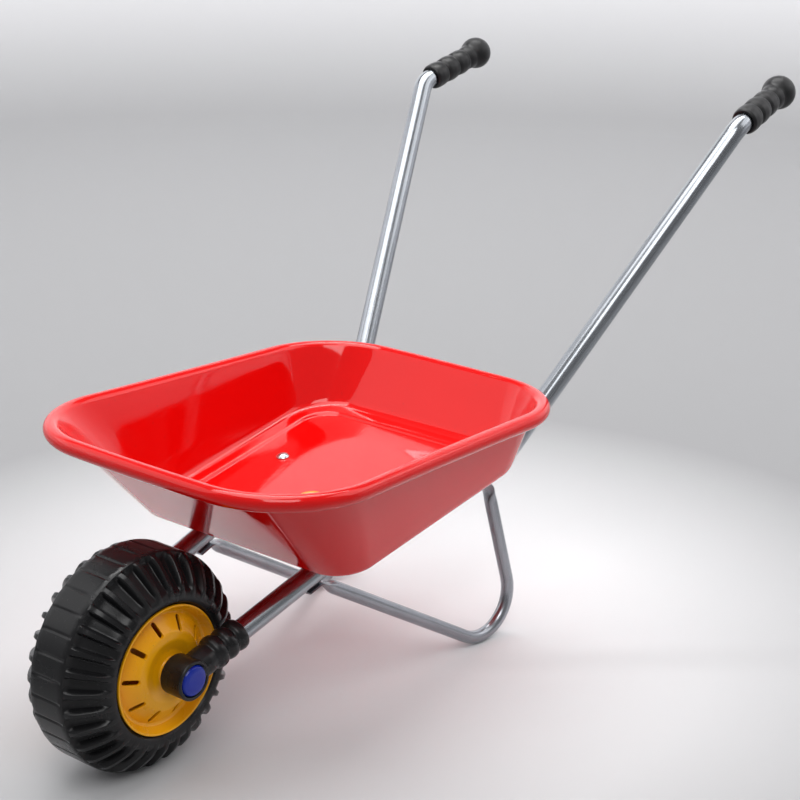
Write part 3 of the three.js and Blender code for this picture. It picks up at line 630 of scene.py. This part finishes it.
# ---------------------------------------------------------------- Wheel rims
# Two yellow plastic halves snapped together inside the tyre. Each face falls from the tyre's edge
# into a trough and climbs a cone of ten rounded slots to the hub. Moulded glossy, no spokes.
rim_profile = rounded([(0.15, 6.5), (44.6, 6.5), (44.6, 10.5), (40.6, 11.6), (39.6, 17.0), (42.3, 25.5),
                       (41.3, 32.0), (31.5, 44.8), (32.3, 47.2), (40.0, 51.4), (40.0, 52.8), (38.0, 52.8),
                       (33.5, 50.0), (0.15, 50.0), (0.15, 48.0), (30.0, 48.0), (30.0, 44.2), (39.4, 31.4),
                       (40.6, 25.6), (37.9, 17.5), (37.9, 9.0), (0.15, 9.0), (0.15, 6.5)], 1.6, 5)[:-1]
yellow = Finish("yellow_plastic", (0.94, 0.44, 0.003), 0.26, shine=0.4)
soft, dust = yellow.speckle(28.0, 0.5)
skin_tone = yellow.blend(soft, (0.95, 0.45, 0.003), (0.87, 0.37, 0.002))
yellow.color(yellow.blend(dust, skin_tone, (0.35, 0.18, 0.03)))
yellow.roughness(yellow.spread(soft, 0.20, 0.32))
yellow.bump(yellow.speckle(420.0, 0.0)[0], 0.05, 0.0002)
SLOTS, FIRST_SLOT = 10, 5.5
SLOT_MIDDLE, SLOT_HALF, SLOT_RADIUS = 37.3, 3.7, 2.15  # out from the axle, half the straight, end radius
slot_turn = np.radians(FIRST_SLOT + 360.0 / SLOTS * np.arange(SLOTS))
# a slot is two half circles joined by straight sides, cut straight through along X
arc = np.linspace(0, math.pi, 13) - math.pi / 2
slot_end = np.stack([np.cos(arc) * SLOT_RADIUS + SLOT_HALF, np.sin(arc) * SLOT_RADIUS], -1)
slot_shape = np.concatenate([slot_end, -slot_end])
for side, flip in SIDES:
    rim = turned(f"rim_half_{side}", rim_profile, AXLE_CENTRE, ALONG_X * flip, steps=144, loop_rows=True,
                 sharp=50)
    for angle in slot_turn:
        away = np.array([0.0, -math.cos(angle), math.sin(angle)])
        beside = np.array([0.0, math.sin(angle), math.cos(angle)])
        face = AXLE_CENTRE + (SLOT_MIDDLE + slot_shape[:, :1]) * away + slot_shape[:, 1:] * beside
        heart = np.repeat((AXLE_CENTRE + SLOT_MIDDLE * away)[None], len(slot_shape), 0)
        inner, outer = ALONG_X * 24, ALONG_X * 48
        prism = np.stack([heart + inner, face + inner, face + outer, heart + outer])
        joined(rim, skin("slot", prism * flip, sharp=30), "DIFFERENCE", 42.0)
    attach(rim, "wheel")
    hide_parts(f"wheel_rim_{side}")
    yellow.on(rim)

# ---------------------------------------------------------------- Tyre
# A hollow moulded tyre of semi-gloss black rubber: a flat band with shallow cross lines, and thirty-two
# rounded blocks that run down each shoulder with hollows between them.
# Both outlines are half of the tyre's section, as distances along the axle and out from it. They run
# from the bead to the middle of the band: one through a hollow, and one over a block.
groove = np.array([(33, 50.4), (36.2, 52), (38.4, 53.8), (40.2, 55.4), (41, 58.5), (40.6, 61.4), (39, 64.2),
                   (35.8, 66.6), (32.8, 69), (30, 71.8), (27, 74.7), (24.2, 77.4), (21.6, 79.8),
                   (19.5, 81.8), (18.2, 83.4),
                   (17.6, 87.2), (17.2, 89.2), (16, 89.85), (12, 89.85), (6, 89.85), (0.5, 89.85)])
block = np.array([(33, 50.4), (36.2, 52), (38.4, 53.8), (40.2, 55.4), (41, 58.5), (40.7, 61.8), (40.2, 65),
                  (39, 68.4), (37, 71.8), (34.6, 75), (31.4, 78.8), (28.4, 82.2), (25.4, 85.2),
                  (22.4, 87.2), (19.6, 88.3), (18.2, 88.6),
                  (17.4, 89.4), (16, 89.85), (12, 89.85), (6, 89.85), (0.5, 89.85)])
inside = np.array([(30.5, 52), (35.5, 60), (31.5, 65.5), (24.5, 73.0), (14, 81.0)])
mirror = np.array([-1.0, 1.0])
groove = np.concatenate([groove, groove[::-1] * mirror, inside * mirror, inside[::-1]])
block = np.concatenate([block, block[::-1] * mirror, inside * mirror, inside[::-1]])
BLOCKS, FIRST_BLOCK = 32, 5.0
BLOCK_TOP, BLOCK_FOOT = 0.11, 0.27  # half widths, as shares of the way from one block to the next
LINE_DEPTH = 0.8
round_turn = np.linspace(0, 2 * math.pi, BLOCKS * 20, endpoint=False)
pitch = math.radians(360.0 / BLOCKS)
# gap is 0 in the middle of a block and a half in the middle of a hollow
gap = np.abs(np.mod((round_turn - math.radians(FIRST_BLOCK)) / pitch + 0.5, 1.0) - 0.5)
share = np.clip((gap - BLOCK_TOP) / (BLOCK_FOOT - BLOCK_TOP), 0, 1)
share = 1 - share * share * (3 - 2 * share)
section = groove[:, None] + (block - groove)[:, None] * share[None, :, None]
line_share = np.clip((np.abs(gap - 0.5) - 0.03) / 0.05, 0, 1)
on_band = (np.arange(len(groove)) >= 18) & (np.arange(len(groove)) <= 23)
section[..., 1] -= LINE_DEPTH * on_band[:, None] * (1 - line_share)[None]
tyre_grid = np.stack([section[..., 0], -section[..., 1] * np.cos(round_turn),
                      90 + section[..., 1] * np.sin(round_turn)], -1)
tyre = skin("tyre_tread", tyre_grid, loop_rows=True, sharp=32)
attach(tyre, "wheel")
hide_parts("tyre")
rubber = Finish("tyre_rubber", (0.006, 0.006, 0.0065), 0.36, shine=0.32)
soft, dust = rubber.speckle(24.0, 0.5)
skin_tone = rubber.blend(soft, (0.006, 0.006, 0.0065), (0.011, 0.011, 0.012))
rubber.color(rubber.blend(dust, skin_tone, (0.07, 0.068, 0.066)))
rubber.roughness(rubber.spread(soft, 0.20, 0.34))
rubber.bump(rubber.speckle(520.0, 0.0)[0], 0.14, 0.0003)
rubber.on(tyre)

# ---------------------------------------------------------------- Studio
# A round paper floor that curls up into a wall on the side away from the camera. Large soft boxes
# hang above and beside the wheelbarrow, and a weak grey light fills the shadows. The paper's colour
# holds painted light: it is painted darker where the lamps are strongest, and painted lighter under
# the wheelbarrow, where its shadow falls, and up the wall, where the lamps' light falls off, to look even.
far_angle = math.atan2(0.78, -0.63)
angle = np.linspace(0, 2 * math.pi, 160, endpoint=False)
reach = np.clip((np.cos(angle - far_angle) + 0.35) / 0.5, 0, 1)
reach = reach * reach * (3 - 2 * reach)
bend = np.radians(np.linspace(0, 90, 24))
distance = np.concatenate([[0, 600, 1200, 1700], 2300 + 800 * np.sin(bend), [3100]])
rise = np.concatenate([[0, 0, 0, 0], 800 - 800 * np.cos(bend), [2600]])
sweep = skin("paper_sweep", np.stack([distance[:, None] * np.cos(angle), distance[:, None] * np.sin(angle),
                                      rise[:, None] * reach], -1), spot=np.zeros(3), sharp=60)
paper = Finish("pale_paper", (0.66, 0.66, 0.67), 0.9)
soft, _ = paper.speckle(3.0, 0.0)
away = paper.add("ShaderNodeVectorMath", operation="LENGTH")
paper.link(paper.place, away.inputs[0])
near_to_far = paper.spread(away.outputs["Value"], 0.0, 1.0, 0.02, 0.58)
height = paper.add("ShaderNodeSeparateXYZ")
paper.link(paper.place, height.inputs[0])
low_to_high = paper.spread(height.outputs["Z"], 0.0, 1.0, 0.01, 0.55)
# Painted light: the paper is painted lighter near the middle, where the wheelbarrow's shadow falls, darker
# further out, where the lamps are strongest, and lighter up the wall, where their light falls off.
shadow_lift_tone = paper.blend(soft, (0.86, 0.86, 0.87), (0.89, 0.89, 0.90))
painted_floor_tone = paper.blend(near_to_far, shadow_lift_tone, (0.28, 0.28, 0.285))
paper.color(paper.blend(low_to_high, painted_floor_tone, (0.92, 0.92, 0.94)))
paper.on(sweep)


def soft_box(name, place, size_x, size_y, power, target=(0.0, 0.0, 0.2)):
    """A rectangular lamp that faces the target, or else the middle of the wheelbarrow."""
    lamp = bpy.data.lights.new(name, "AREA")
    lamp.shape = "RECTANGLE"
    lamp.size, lamp.size_y, lamp.energy = size_x, size_y, power
    stand = bpy.data.objects.new(name, lamp)
    bpy.context.scene.collection.objects.link(stand)
    place = Vector(place)
    turn = (Vector(target) - place).to_track_quat("-Z", "Y")
    stand.matrix_world = Matrix.Translation(place) @ turn.to_matrix().to_4x4()


soft_box("top_box", (-0.4, 0.0, 2.6), 2.6, 2.0, 50.0)
soft_box("left_box", (-2.2, -1.4, 1.9), 2.4, 2.0, 14.0)
soft_box("right_box", (1.6, 1.5, 2.1), 2.0, 1.8, 16.0)
soft_box("front_box", (1.5, -1.5, 2.7), 1.6, 1.6, 32.0)
soft_box("wall_box", (-0.6, 0.9, 2.7), 2.6, 0.8, 62.0, target=(-1.9, 2.4, 0.9))
world = bpy.data.worlds.new("even_light")
world.use_nodes = True
world.node_tree.nodes["Background"].inputs["Color"].default_value = (0.5, 0.5, 0.51, 1)
world.node_tree.nodes["Background"].inputs["Strength"].default_value = 0.55
bpy.context.scene.world = world
bpy.context.scene.view_settings.view_transform = "Standard"
